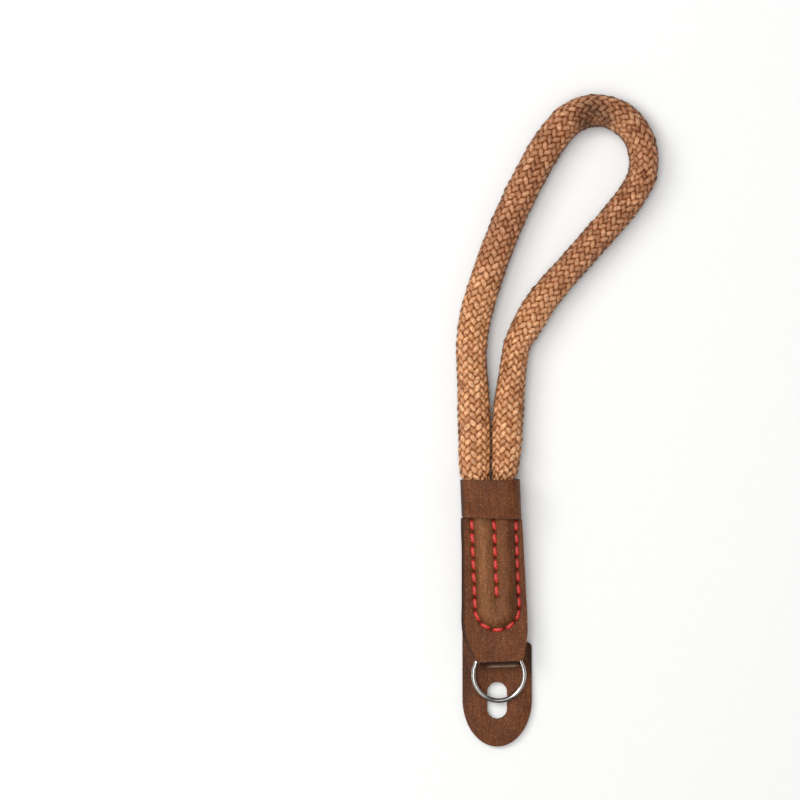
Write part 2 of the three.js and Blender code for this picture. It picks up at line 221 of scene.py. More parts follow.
def braided_polyester():
    """Spun polyester yarn, dyed tan: plies twisted in each yarn catch the light as fine slanted
    lines, the tops of the floats carry a painted highlight and are a little shiny, and the gaps
    between and the flanks carry painted shade."""
    material, tree, output, place = blank_material("braided_polyester")
    height, tone, top_side = painted_masks(tree, "height", "tone", "top_side")
    yarn, ply = plies(tree, "yarn")
    stretch = add_node(tree, "ShaderNodeMapping", {"Scale": (5, 1.2, 1)}, {"Vector": yarn})
    fibre = add_node(tree, "ShaderNodeTexNoise", {"Scale": 1.6, "Detail": 3},
                     {"Vector": stretch.outputs[0]})
    mottle = add_node(tree, "ShaderNodeTexNoise", {"Scale": 1 / 0.0035, "Detail": 2},
                      {"Vector": place})
    # Loose fibres are about 0.02 mm thick, drawn as 0.7 mm tufts so that they show.
    tuft = add_node(tree, "ShaderNodeTexNoise", {"Scale": 1 / 0.0007, "Detail": 2},
                    {"Vector": place})
    tufted = add_node(tree, "ShaderNodeMapRange", {1: 0.32, 2: 0.68, 3: 0.66, 4: 1.34},
                      {0: tuft.outputs[0]})
    painted_tone = add_node(tree, "ShaderNodeVectorMath", {"operation": "DISTANCE", 1: DARK_PATCH_AT},
                    {0: place})
    patch_near = add_node(tree, "ShaderNodeMapRange",
                         {**SMOOTH, 1: 0.0035, 2: 0.0095, 3: 1.15, 4: 0.0},
                         {0: painted_tone.outputs["Value"]})
    # Painted shade darkens each yarn where it lies low in the braid, and a painted highlight
    # lightens the tops of the floats.
    deep = add_node(tree, "ShaderNodeMapRange", {**SMOOTH, 1: 0.42, 2: 0.86, 3: 0.0, 4: 1.0},
                    {0: height})
    top = add_node(tree, "ShaderNodeMapRange", {**SMOOTH, 1: 0.74, 2: 0.98, 3: 0.0, 4: 1.1},
                   {0: height})
    float_highlight = add_node(tree, "ShaderNodeMath", {"operation": "MULTIPLY", "use_clamp": True},
                    {0: top.outputs[0], 1: tone})
    body = add_node(tree, "ShaderNodeMix", {**COLOURS, 6: linear("935127"), 7: linear("C98451")},
                    {0: tone})
    gap_painted_shade = add_node(tree, "ShaderNodeMix", {**COLOURS, 6: linear("2C1208")},
                   {0: deep.outputs[0], 7: body.outputs[2]})
    crest = add_node(tree, "ShaderNodeMix", {**COLOURS, 7: linear("F6BE92")},
                     {0: float_highlight.outputs[0], 6: gap_painted_shade.outputs[2]})
    fleck = add_node(tree, "ShaderNodeMapRange", {1: 0.35, 2: 0.7, 3: 0.7, 4: 1.2},
                     {0: fibre.outputs[0]})
    patchy = add_node(tree, "ShaderNodeMapRange", {1: 0.35, 2: 0.65, 3: 0.9, 4: 1.08},
                      {0: mottle.outputs[0]})
    spun = add_node(tree, "ShaderNodeMath", {"operation": "MULTIPLY"},
                    {0: fleck.outputs[0], 1: tufted.outputs[0]})
    shade = add_node(tree, "ShaderNodeMath", {"operation": "MULTIPLY"},
                     {0: spun.outputs[0], 1: patchy.outputs[0]})
    # Past the middle of the loop the colour turns deeper and redder.
    apart = add_node(tree, "ShaderNodeSeparateXYZ", {}, {"Vector": place})
    reach = add_node(tree, "ShaderNodeMath", {"operation": "MULTIPLY_ADD", 1: 0.5},
                     {0: apart.outputs["X"], 2: apart.outputs["Y"]})
    far = add_node(tree, "ShaderNodeMapRange", {**SMOOTH, 1: 0.100, 2: 0.140},
                   {0: reach.outputs[0]})
    far_tint = add_node(tree, "ShaderNodeMix",
                   {**COLOURS, 6: (1.06, 1.05, 1.0, 1), 7: (0.77, 0.71, 0.70, 1)},
                   {0: far.outputs[0]})
    dyed = add_node(tree, "ShaderNodeVectorMath", {"operation": "MULTIPLY"},
                    {0: crest.outputs[2], 1: far_tint.outputs[2]})
    # The flanks and underside are darkened as painted shade, and the top is left bright.
    flank_painted_shade = add_node(tree, "ShaderNodeMapRange", {**SMOOTH, 1: -0.05, 2: 0.58, 3: 0.38, 4: 1.0},
                    {0: top_side})
    spun_and_flank_shade = add_node(tree, "ShaderNodeMath", {"operation": "MULTIPLY"},
                      {0: shade.outputs[0], 1: flank_painted_shade.outputs[0]})
    shaded = add_node(tree, "ShaderNodeVectorMath", {"operation": "SCALE"},
                      {0: dyed.outputs[0], "Scale": spun_and_flank_shade.outputs[0]})
    # The rope is darker, in mottled patches, near the inner side of the far bend.
    patch_share = add_node(tree, "ShaderNodeMath", {"operation": "MULTIPLY"},
                           {0: patch_near.outputs[0], 1: mottle.outputs[0]})
    darker_patch = add_node(tree, "ShaderNodeMix", {**COLOURS, 7: linear("2C160C")},
                     {0: patch_share.outputs[0], 6: shaded.outputs[0]})
    ridge = add_node(tree, "ShaderNodeMath", {"operation": "MULTIPLY_ADD", 1: 0.45},
                     {0: ply.outputs[0], 2: fibre.outputs[0]})
    bump = add_node(tree, "ShaderNodeBump", {"Strength": 0.55, "Distance": 0.00012},
                    {"Height": ridge.outputs[0]})
    shader = add_node(tree, "ShaderNodeBsdfPrincipled",
                      {"Roughness": 0.5, "IOR": 1.54, "Specular IOR Level": 0.22,
                       "Sheen Weight": 0.04, "Sheen Tint": linear("F2C7A0")},
                      {"Base Color": darker_patch.outputs[2], "Normal": bump.outputs[0]})
    tree.links.new(shader.outputs[0], output.inputs[0])
    return material


rope_look = braided_polyester()


def lay_yarns(name, hand, seed):
    """The 16 yarns that go round one way, each a flattened tube that rises and dips."""
    rings = int(rope_length / YARN_STEP)
    along, middle, side, up, wide, tall = rope_at(rings)
    first = 2 * np.pi * np.arange(YARNS)[:, None] / YARNS
    angle = hand * 2 * np.pi * along / PITCH + first
    swell = hand * np.cos(np.pi / 2 * (YARNS * angle / np.pi - 0.5))
    rng = np.random.default_rng(seed)
    knots = np.linspace(0, rope_length, int(rope_length / UNEVEN_STEP))
    uneven = np.stack([np.interp(along, knots, rng.normal(0, 1, len(knots))) for _ in first])
    knots = np.linspace(0, rope_length, int(rope_length / SPOT_STEP))
    spotty = np.stack([np.interp(along, knots, rng.normal(0, 1, len(knots))) for _ in first])
    small = np.minimum(1, np.minimum(wide, tall) / ROPE_WIDTH)
    rise = small * (CRIMP * swell * (1 + LIFT_VARIES * uneven) + STRAY * uneven)
    inset = small * (CRIMP + YARN_HIGH / 2)
    half_wide, half_tall = wide / 2 + small * FLATTENED - inset + rise, tall / 2 - inset + rise
    cos, sin = np.cos(angle)[..., None], np.sin(angle)[..., None]
    points = middle + half_wide[..., None] * cos * side + half_tall[..., None] * sin * up
    out = cos / half_wide[..., None] * side + sin / half_tall[..., None] * up
    run = np.gradient(points, axis=1)
    run /= np.linalg.norm(run, axis=2, keepdims=True)
    across = np.cross(run, out)
    across /= np.linalg.norm(across, axis=2, keepdims=True)
    out = np.cross(across, run)
    turn = 2 * np.pi * np.arange(YARN_SIDES) / YARN_SIDES
    plump = small * (1 + BULK_SWELLS * swell + BULK_VARIES * uneven)
    half = 0.5 * YARN_WIDE * plump[..., None, None] * np.cos(turn)[:, None]
    high = 0.5 * YARN_HIGH * small[..., None, None] * np.sin(turn)[:, None]
    points = points[:, :, None, :] + half * across[:, :, None, :] + high * out[:, :, None, :]
    points[..., 2] = np.maximum(points[..., 2], OFF_TABLE)
    walls, caps = tube_faces(rings, YARN_SIDES, YARNS)
    strands = mesh_piece(name, points, walls.tolist() + caps, rope_look)

    # The map unrolls each yarn: plies round it with their twist, and centimetres along it.
    yarn_length = along * math.hypot(1, np.pi * BRAID_ACROSS / PITCH)
    lap = np.arange(YARN_SIDES)[None, :] / YARN_SIDES + np.zeros((rings, 1))
    u = PLIES * (lap + yarn_length[:, None] / FIBRE_LAY)
    v = np.repeat(100 * yarn_length[:, None], YARN_SIDES, axis=1)
    corner = np.stack([u, v], axis=-1)
    beside = corner + (PLIES / YARN_SIDES, 0)
    quads = np.stack([corner[:-1], corner[1:], beside[1:], beside[:-1]], axis=2)
    unrolled = np.tile(quads.reshape(-1, 2), (YARNS, 1))
    cap_corners = np.zeros((2 * YARNS * YARN_SIDES, 2))
    layer = strands.data.uv_layers.new(name="yarn")
    layer.data.foreach_set("uv", np.vstack([unrolled, cap_corners]).ravel())

    # Height in the braid, lowest where a yarn dives, which places the painted shade and highlight,
    # and how light each yarn's own colour has come out.
    level = 0.5 + 0.32 * swell[..., None] + 0.2 * np.sin(turn)
    mixed = 0.08 * rng.normal(0, 1, (YARNS, 1)) + 0.1 * uneven + 0.12 * spotty
    tone = np.clip(0.5 + mixed, 0, 1)[..., None]
    level, tone, top_side = np.broadcast_arrays(level, tone, np.sin(angle)[..., None])
    for name, value in (("height", level), ("tone", tone), ("top_side", top_side)):
        strands.data.attributes.new(name, "FLOAT", "POINT").data.foreach_set("value", value.ravel())
    return strands


right_lay = lay_yarns("rope_right_lay", 1, 11)
left_lay = lay_yarns("rope_left_lay", -1, 12)


def rope_core_yarn():
    """Soft-spun core, its dark colour a painted shade, which shows only as the dark
    between the yarns.
    """
    material, tree, output, place = blank_material("core_yarn_spun")
    fluff = add_node(tree, "ShaderNodeTexNoise", {"Scale": 1 / 0.0006, "Detail": 3},
                     {"Vector": place})
    colour = add_node(tree, "ShaderNodeMix", {**COLOURS, 6: linear("32180B"), 7: linear("5A301A")},
                      {0: fluff.outputs[0]})
    bump = add_node(tree, "ShaderNodeBump", {"Strength": 0.5, "Distance": 0.0001},
                    {"Height": fluff.outputs[0]})
    shader = add_node(tree, "ShaderNodeBsdfPrincipled", {"Roughness": 0.9, "IOR": 1.5},
                      {"Base Color": colour.outputs[2], "Normal": bump.outputs[0]})
    tree.links.new(shader.outputs[0], output.inputs[0])
    return material


CORE_RINGS, CORE_SIDES = 260, 20
CORE_UNDER = 2 * CRIMP + 0.72 * YARN_HIGH  # from the outside of the braid down to the core


def core_tube():
    """The core fills the braid up to the undersides of its lower yarns."""
    _, middle, side, up, wide, tall = rope_at(CORE_RINGS)
    under = CORE_UNDER * np.minimum(1, np.minimum(wide, tall) / ROPE_WIDTH)
    turn = -2 * np.pi * np.arange(CORE_SIDES) / CORE_SIDES
    half_wide, half_tall = (wide / 2 - under)[:, None, None], (tall / 2 - under)[:, None, None]
    points = (middle[:, None] + half_wide * np.cos(turn)[:, None] * side[:, None]
              + half_tall * np.sin(turn)[:, None] * up[:, None])
    walls, caps = tube_faces(CORE_RINGS, CORE_SIDES)
    return mesh_piece("rope_core", points, walls.tolist() + caps, rope_core_yarn())


core = core_tube()
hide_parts("rope_loop")
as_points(rope_at(400)[1])

# ---- leather ----
# Both panels, the keeper band and the guard pad are cut from 1.2 to 2 mm oiled full-grain
# leather in a chocolate brown, and their cut edges are rubbed smooth.


def oiled_leather():
    """Full-grain cowhide, drum dyed and oil finished: fine pebbles, soft cloudy colour, a low waxy
    gloss, paler where it is drawn tight over the rope ends, dark red in the stitch holes, with a
    painted highlight on the left ridge and on the fold round the bar, and painted shade along the
    left edges, on three spots and under the front panel's edge."""
    material, tree, output, place = blank_material("full_grain_leather_oiled")
    cloud = add_node(tree, "ShaderNodeTexNoise",
                     {"Scale": 1 / 0.009, "Detail": 3, "Roughness": 0.6}, {"Vector": place})
    # Real pebbles are about 0.5 mm, drawn at 0.8 mm so that they show.
    pebble = add_node(tree, "ShaderNodeTexVoronoi",
                      {"feature": "SMOOTH_F1", "Scale": 1 / 0.0008, "Smoothness": 0.6},
                      {"Vector": place})
    speck = add_node(tree, "ShaderNodeTexNoise", {"Scale": 1 / 0.0007, "Detail": 2},
                     {"Vector": place})
    hair = add_node(tree, "ShaderNodeMapping", {"Scale": (1 / 0.0008, 1 / 0.006, 1 / 0.002)},
                    {"Vector": place})
    streak = add_node(tree, "ShaderNodeTexNoise", {"Scale": 1.0, "Detail": 2},
                      {"Vector": hair.outputs[0]})
    crest, pressed, shaded, rubbed = painted_masks(tree, "crest", "pressed", "shaded", "rubbed")
    cloudy = add_node(tree, "ShaderNodeMapRange", {1: 0.3, 2: 0.7}, {0: cloud.outputs[0]})
    base = add_node(tree, "ShaderNodeMix", {**COLOURS, 6: linear("5F321A"), 7: linear("784627")},
                    {0: cloudy.outputs[0]})
    stretched_and_highlit = add_node(tree, "ShaderNodeMix", {**COLOURS, 7: linear("8D5B38")},
                         {0: crest, 6: base.outputs[2]})
    flecks = add_node(tree, "ShaderNodeMapRange", {1: 0.56, 2: 0.72, 3: 0.0, 4: 0.38},
                      {0: speck.outputs[0]})
    flecked = add_node(tree, "ShaderNodeMix", {**COLOURS, 7: linear("A67B5B")},
                       {0: flecks.outputs[0], 6: stretched_and_highlit.outputs[2]})
    streaks = add_node(tree, "ShaderNodeMapRange", {1: 0.35, 2: 0.65, 3: 0.84, 4: 1.16},
                       {0: streak.outputs[0]})
    # Dye lies deeper in the creases between the pebbles than on their tops.
    creases = add_node(tree, "ShaderNodeMapRange", {1: 0.15, 2: 0.55, 3: 1.14, 4: 0.78},
                       {0: pebble.outputs["Distance"]})
    grained = add_node(tree, "ShaderNodeMath", {"operation": "MULTIPLY"},
                       {0: streaks.outputs[0], 1: creases.outputs[0]})
    streaked = add_node(tree, "ShaderNodeVectorMath", {"operation": "SCALE"},
                        {0: flecked.outputs[2], "Scale": grained.outputs[0]})
    dented = add_node(tree, "ShaderNodeMix", {**COLOURS, 7: linear("4E100B")},
                      {0: pressed, 6: streaked.outputs[0]})
    # Painted shade darkens the left edges, and three spots: the guard pad's top right corner and
    # left side, and the keeper band's left side. Each has its middle, reach and depth.
    for middle, size, most in (((0.0123, -0.016, 0.002), (0.0027, 0.0120, 0.002), 0.8),
                               ((-0.0125, -0.022, 0.002), (0.0050, 0.0160, 0.002), 0.5),
                               ((-0.0107, 0.0400, 0.008), (0.0022, 0.0130, 0.011), 0.9)):
        from_middle = add_node(tree, "ShaderNodeVectorMath", {"operation": "SUBTRACT", 1: middle},
                               {0: place})
        in_sizes = add_node(tree, "ShaderNodeVectorMath", {"operation": "DIVIDE", 1: size},
                            {0: from_middle.outputs[0]})
        length = add_node(tree, "ShaderNodeVectorMath", {"operation": "LENGTH"},
                          {0: in_sizes.outputs[0]})
        spot = add_node(tree, "ShaderNodeMapRange", {**SMOOTH, 1: 0.3, 2: 1.0, 3: most, 4: 0.0},
                        {0: length.outputs["Value"]})
        shaded = add_node(tree, "ShaderNodeMath", {"operation": "MAXIMUM"},
                          {0: spot.outputs[0], 1: shaded}).outputs[0]
    with_painted_shade = add_node(tree, "ShaderNodeMix", {**COLOURS, 7: linear("2A160C")},
                     {0: shaded, 6: dented.outputs[2]})
    # A grey painted highlight lies on the outer curve where the back panel turns sharply round the
    # bar, where the bent leather is also paler.
    painted_tone = add_node(tree, "ShaderNodeMix", {**COLOURS, 7: linear("B5A08A")},
                    {0: rubbed, 6: with_painted_shade.outputs[2]})
    rough = add_node(tree, "ShaderNodeMapRange", {1: 0.3, 2: 0.7, 3: 0.46, 4: 0.62},
                     {0: cloud.outputs[0]})
    grain = add_node(tree, "ShaderNodeMath", {"operation": "MULTIPLY_ADD", 1: 0.5},
                     {0: speck.outputs[0], 2: pebble.outputs["Distance"]})
    bump = add_node(tree, "ShaderNodeBump", {"Strength": 0.5, "Distance": 0.00012},
                    {"Height": grain.outputs[0]})
    shader = add_node(tree, "ShaderNodeBsdfPrincipled", {"IOR": 1.5, "Specular IOR Level": 0.14},
                      {"Base Color": painted_tone.outputs[2], "Roughness": rough.outputs[0],
                       "Normal": bump.outputs[0]})
    tree.links.new(shader.outputs[0], output.inputs[0])
    return material


def leather_edge():
    """Raw cut edge of vegetable-retanned leather, burnished with water: darker, matt and fibrous.
    """
    material, tree, output, place = blank_material("leather_cut_edge_burnished")
    fibre = add_node(tree, "ShaderNodeTexNoise", {"Scale": 1 / 0.0005, "Detail": 4},
                     {"Vector": place})
    colour = add_node(tree, "ShaderNodeMix", {**COLOURS, 6: linear("33200F"), 7: linear("5A3F27")},
                      {0: fibre.outputs[0]})
    bump = add_node(tree, "ShaderNodeBump", {"Strength": 0.6, "Distance": 0.00012},
                    {"Height": fibre.outputs[0]})
    shader = add_node(tree, "ShaderNodeBsdfPrincipled", {"Roughness": 0.75, "IOR": 1.5},
                      {"Base Color": colour.outputs[2], "Normal": bump.outputs[0]})
    tree.links.new(shader.outputs[0], output.inputs[0])
    return material


leather_look, edge_look = oiled_leather(), leather_edge()


def finish_leather(piece, node, wall, edge):
    """Give a shaped sheet its wall inwards and soft cut edges, and fit it in for its node."""
    piece.data.materials.append(leather_look)
    piece.data.materials.append(edge_look)
    bpy.context.view_layer.objects.active = piece
    shell = piece.modifiers.new("wall", "SOLIDIFY")
    shell.thickness, shell.offset, shell.use_even_offset = wall, -1, True
    shell.material_offset_rim = 1
    soft = piece.modifiers.new("soft_edge", "BEVEL")
    soft.width, soft.segments = edge, 3
    soft.limit_method, soft.angle_limit = "ANGLE", math.radians(50)
    for modifier in ("wall", "soft_edge"):
        bpy.ops.object.modifier_apply(modifier=modifier)
    piece.data.shade_smooth()
    bpy.ops.object.select_all(action="DESELECT")
    piece.select_set(True)
    bpy.ops.object.shade_smooth_by_angle(angle=math.radians(45))
    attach(piece, "strap")
    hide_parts(node)


# ---- keeper band ----
# A strip of the same leather, wetted, wrapped tight round the mouth and glued behind. Its ends
# are cut a little out of square.
BAND_WALL, BAND_CORNER, BAND_LOW, BAND_TOP = 0.0012, 0.0054, 0.0332, 0.0467
BAND_EDGE = 0.0003
BODY_X = 0.0008  # middle line of the leather body
SLANT_Y, SLANT = (20.0, 33.2, 46.7), (0, -0.07, -0.03)  # rise to the right at each height in mm
low, high = (np.array(corner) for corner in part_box("keeper_band"))
low[1], high[1] = BAND_LOW, BAND_TOP


def out_of_square(x, y):
    """How far up the strap the slanted cuts move a place near the mouth, all in mm."""
    return x * np.interp(y, SLANT_Y, SLANT)


def pick(mesh, kind, wanted):
    """Select those of a mesh's edges or faces that are wanted, in edit mode."""
    work = bmesh.from_edit_mesh(mesh)
    for part in getattr(work, kind):
        part.select = wanted(part)
    bmesh.update_edit_mesh(mesh)


def runs_along(edge):
    """Whether an edge of the block runs up the strap from one end of the band to the other."""
    return abs((edge.verts[0].co - edge.verts[1].co).y) > 0.5 * (BAND_TOP - BAND_LOW)


bpy.ops.object.select_all(action="DESELECT")
bpy.ops.mesh.primitive_cube_add(size=1, location=(low + high) / 2, scale=high - low)
keeper = bpy.context.object
keeper.name = keeper.data.name = "keeper_band_leather"
bpy.ops.object.transform_apply(location=True, rotation=True, scale=True)
bpy.ops.object.mode_set(mode="EDIT")
bpy.ops.mesh.select_all(action="DESELECT")
bpy.ops.mesh.select_mode(type="EDGE")
pick(keeper.data, "edges", runs_along)
bpy.ops.mesh.bevel(offset=BAND_CORNER, segments=12, profile=0.5)
bpy.ops.mesh.select_mode(type="FACE")
bpy.ops.mesh.select_all(action="DESELECT")
pick(keeper.data, "faces", lambda face: abs(face.normal.y) > 0.9)
bpy.ops.mesh.delete(type="FACE")
work = bmesh.from_edit_mesh(keeper.data)
for vertex in work.verts:
    vertex.co.y += 0.001 * out_of_square(1000 * (vertex.co.x - BODY_X), 1000 * vertex.co.y)
bmesh.update_edit_mesh(keeper.data)
bpy.ops.object.mode_set(mode="OBJECT")
finish_leather(keeper, "keeper_band", BAND_WALL, BAND_EDGE)

# ---- front panel and back panel ----
# Two panels of leather pressed wet over the rope ends, glued and sewn through. The back one
# narrows below the seam, folds round the ring's bar and comes back up between the panels.
PANEL = 1.4  # wall in mm, as all the lengths below are
PANEL_EDGE = 0.00035  # in metres, for the finish
BODY = np.array([
    # y, half width, its middle from the seam's, lip of the back panel on the left, height of
    # the parting plane, panel from it at the margin and on a ridge, ridge and its foot from
    # the middle line, height left in the groove between the ridges
    (39.2, 8.8, -0.7, 0, 7.0, 0.15, 3.95, 4.3, 8.6, 0.62),
    (33.12, 8.8, -0.7, 0, 6.95, 0.15, 3.75, 4.0, 8.0, 0.62),
    (33.06, 10.4, -0.5, 0.5, 6.94, 0.15, 3.74, 4.0, 8.0, 0.62),
    (20.0, 10.65, -0.55, 0.5, 6.45, 0.15, 3.55, 3.75, 7.6, 0.62),
    (7.0, 10.95, -0.7, 0.5, 5.9, 0.15, 3.5, 3.75, 7.6, 0.65),
    (1.8, 11.15, -0.75, 0.5, 5.7, 0.15, 3.4, 3.75, 7.6, 0.8),
    (-2.3, 11.25, -0.85, 0.5, 5.55, 0.3, 3.3, 3.75, 7.6, 0.95),
    (-5.6, 11.2, -0.82, 0.5, 5.4, 0.9, 3.0, 3.75, 7.6, 1.0),
    (-7.5, 10.95, -0.75, 0.5, 5.3, 1.0, 1.0, 3.75, 7.6, 1.0),
    (-11.2, 10.2, -0.6, 0, 5.25, 1.3, 1.3, 3.75, 7.6, 1.0),
    (-14.0, 9.25, -0.25, 0, 5.45, 1.7, 1.7, 3.75, 7.6, 1.0),
    (-15.2, 8.85, -0.05, 0, 5.6, 1.95, 1.95, 3.75, 7.6, 1.0),
    (-16.2, 8.4, 0, 0, 5.7, 2.05, 2.05, 3.75, 7.6, 1.0),
    (-16.9, 7.7, 0, 0, 5.75, 2.1, 2.1, 3.75, 7.6, 1.0),
])
SEAM_ROUND_Y = 1.8  # below this the seam runs round the rope ends in a half circle
RIDGE_FULL = 0.85  # below 1, so that a ridge is fuller than a plain wave
hinge = frame["record"]["behaviour"]["joints"][0]["pos_m"]
BAR_Y, BAR_Z = 1000 * np.array(hinge[1:])
MIDDLE_X = 1000 * BODY_X  # the middle row of stitches
SHOULDER_Y = 31.0  # above this the outline is cut square, not eased
EASE_REACH = 9  # how many steps of 0.1 mm each corner is eased over, each way


def softened(table):
    """The table's columns at every tenth of a millimetre. The corners between its rows are
    eased, but not the shoulders that are cut just below the keeper band."""
    y = np.arange(table[-1, 0], table[0, 0] + 0.01, 0.1)
    columns = [np.interp(y, table[::-1, 0], column[::-1]) for column in table.T[1:]]
    window = np.hanning(2 * EASE_REACH + 3)
    ease = window[1:-1] / window.sum()
    eased = [np.convolve(np.pad(column, EASE_REACH, "edge"), ease, "valid") for column in columns]
    return y, [np.where(y > SHOULDER_Y, column, soft) for column, soft in zip(columns, eased)]


def read_off(softened_table, y):
    """Each of a softened table's columns at the places y."""
    return [np.interp(y, softened_table[0], column) for column in softened_table[1]]


body_sizes = softened(BODY)


def outer_height(x, y):
    """Height of a panel's outer face from the parting plane, and the ridge's share in it."""
    split, crown, ridge, foot, groove = read_off(body_sizes, y)[4:]
    reach = np.where(y < SEAM_ROUND_Y, np.hypot(x, y - SEAM_ROUND_Y), np.abs(x))
    past = np.clip((reach - ridge) / (foot - ridge), 0, 1)
    inward = np.maximum(0, 1 - np.abs(x) / ridge)
    share = np.cos(past * np.pi / 2) ** RIDGE_FULL * (1 - (1 - groove) * inward ** 2)
    return split + PANEL + (crown - split) * share, share


# The seam: two side rows joined by a half circle, and a short middle row.
STITCH_PITCH = 4.6
SEAM_TOP, SIDE_ROW, MIDDLE_FIRST, MIDDLE_COUNT = 33.0, 7.55, 30.8, 6
HOLE_OUT, DRAWN_LONG = 2.0, 2.4  # from a stitch's middle to each hole, and to where its pull ends
HOLE_DEEP, HOLE_REACH, HOLE_DARK, DARK_REACH = 0.34, 0.75, 0.8, 0.62
PULL_DEEP, PULL_REACH = 0.20, 1.1


def seam_places():
    """Middle and heading of each stitch, in mm from the middle line, with y up the strap."""
    straight = SEAM_TOP - SEAM_ROUND_Y
    whole = 2 * straight + np.pi * SIDE_ROW
    count = round(whole / STITCH_PITCH)
    places = []
    for run in (np.arange(count) + 0.5) * whole / count:
        if run < straight:
            places.append((-SIDE_ROW, SEAM_TOP - run, -np.pi / 2))
        elif run < whole - straight:
            turn = np.pi + (run - straight) / SIDE_ROW
            places.append((SIDE_ROW * np.cos(turn), SEAM_ROUND_Y + SIDE_ROW * np.sin(turn),
                           turn + np.pi / 2))
        else:
            places.append((SIDE_ROW, SEAM_ROUND_Y + run - (whole - straight), np.pi / 2))
    for k in range(MIDDLE_COUNT):
        places.append((0.0, MIDDLE_FIRST - STITCH_PITCH * k, -np.pi / 2))
    return np.array(places)


stitches = seam_places()
stitches[:, 1] += out_of_square(stitches[:, 0], stitches[:, 1])
heading = np.stack([np.cos(stitches[:, 2]), np.sin(stitches[:, 2])], axis=1)
holes = np.vstack([stitches[:, :2] + end * HOLE_OUT * heading for end in (-1, 1)])


def press(x, y):
    """How far the thread pulls the leather in at a place, and how dark a hole makes it."""
    flat = np.stack([np.ravel(x), np.ravel(y)], axis=1)
    far = np.linalg.norm(flat[:, None] - holes[None], axis=2).min(axis=1).reshape(np.shape(x))
    offset = flat[:, None] - stitches[None, :, :2]
    along = np.abs(np.einsum("ijk,jk->ij", offset, heading))
    beside = np.abs(np.einsum("ijk,jk->ij", offset, heading[:, ::-1] * (-1, 1)))
    pull = np.where(along < DRAWN_LONG, beside, np.inf).min(axis=1).reshape(np.shape(x))
    dent = HOLE_DEEP * np.exp(-(far / HOLE_REACH) ** 2)
    dent = dent + PULL_DEEP * np.exp(-(pull / PULL_REACH) ** 2)
    return dent, HOLE_DARK * np.exp(-(far / DARK_REACH) ** 2)


def flat_grid(name, across, along):
    """A flat blank, as cut, and how far its points lie across it, from -1 to 1, and along it,
    from 0 to 1."""
    bpy.ops.object.select_all(action="DESELECT")
    bpy.ops.mesh.primitive_grid_add(x_subdivisions=across, y_subdivisions=along, size=1)
    blank = bpy.context.object
    blank.name = blank.data.name = name
    places = np.empty(3 * len(blank.data.vertices))
    blank.data.vertices.foreach_get("co", places)
    return blank, places.reshape(-1, 3)[:, 0] * 2, places.reshape(-1, 3)[:, 1] + 0.5


RIPPLE, RIPPLE_LONG = 0.00008, 0.006  # in metres
noise.seed_set(1)  # so that the ripple is the same at each run


def set_shape(blank, x, y, z, **masks):
    """Move the blank's points to their places, given in mm, with the leather's faint ripple,
    and keep its paint masks."""
    points = 0.001 * np.stack([x + MIDDLE_X, y, z], axis=1)
    for k, point in enumerate(points):
        points[k] += RIPPLE * np.array(noise.noise_vector(Vector(point) / RIPPLE_LONG))
    blank.data.vertices.foreach_set("co", points.ravel())
    for name, value in masks.items():
        blank.data.attributes.new(name, "FLOAT", "POINT").data.foreach_set("value", value)
    blank.data.update()


front, share_x, share_y = flat_grid("front_panel_leather", 76, 190)
y = BODY[-1, 0] + share_y * (BODY[0, 0] - BODY[-1, 0])
half, shift, _, plane = read_off(body_sizes, y)[:4]
x = shift + share_x * half
height, ridge_share = outer_height(x, y)
y = y + out_of_square(x, y)
dent, dark = press(x, y)
# The ridges are paler where drawn tight, and a painted highlight makes the left ridge palest.
# The cut edge on the left is darkened as painted shade.
set_shape(front, x, y, plane + height - dent,
          crest=ridge_share * np.clip(0.6 - 0.11 * x, 0, 1), pressed=dark,
          shaded=0.7 * np.clip((-0.93 - share_x) / 0.04, 0, 1))
finish_leather(front, "front_panel", 0.001 * PANEL, PANEL_EDGE)

FOLD = 2.5  # outer radius of the fold round the ring's bar
FOLD_LEAD_Y, FOLD_LEAD = -14.9, 1.2  # where the neck starts down to the fold, and over how much
# The neck has y, half width and middle at each place, and the flap has y and height.
NECK = np.array([(-9.0, 10.8, -0.83), (-11.2, 10.2, -0.6), (-12.6, 9.1, -0.3), (-14.0, 7.6, 0),
                 (-14.8, 6.8, 0)])
FLAP = np.array([(BAR_Y, 7.3), (-15.4, 7.2), (-14.4, 6.95), (-13.2, 6.6), (-11.8, 6.3),
                 (-10.0, 6.1), (-7.8, 5.98)])
back, share_x, share_y = flat_grid("back_panel_leather", 60, 260)
legs = np.cumsum([0, BODY[0, 0] - BAR_Y, np.pi * FOLD, FLAP[-1, 0] - BAR_Y])
run = share_y * legs[-1]
turn = np.clip((run - legs[1]) / FOLD, 0, np.pi)
on_body = run < legs[1]
y = np.where(on_body, BODY[0, 0] - run, BAR_Y + np.maximum(0, run - legs[2]))
half, shift, lip, plane = read_off(body_sizes, y)[:4]
narrowed = [np.interp(y, NECK[::-1, 0], NECK[::-1, k]) for k in (1, 2)]
half = np.where(y > NECK[0, 0], half + lip / 2, narrowed[0])
shift = np.where(y > NECK[0, 0], shift - lip / 2, narrowed[1])
x = np.where(on_body, shift + share_x * half, share_x * NECK[-1, 1])
height, ridge_share = outer_height(x, y)
y = y + out_of_square(x, y)
dent, dark = press(x, y)
body_z = plane - height + dent
neck_share = np.clip((FOLD_LEAD_Y - y) / FOLD_LEAD, 0, 1)
body_z = body_z * (1 - neck_share) + (BAR_Z - FOLD) * neck_share
flap_z = np.interp(y, FLAP[:, 0], FLAP[:, 1])
z = np.where(on_body, body_z, np.where(run > legs[2], flap_z, BAR_Z - FOLD * np.cos(turn)))
y = np.where(on_body | (run > legs[2]), y, BAR_Y - FOLD * np.sin(turn))
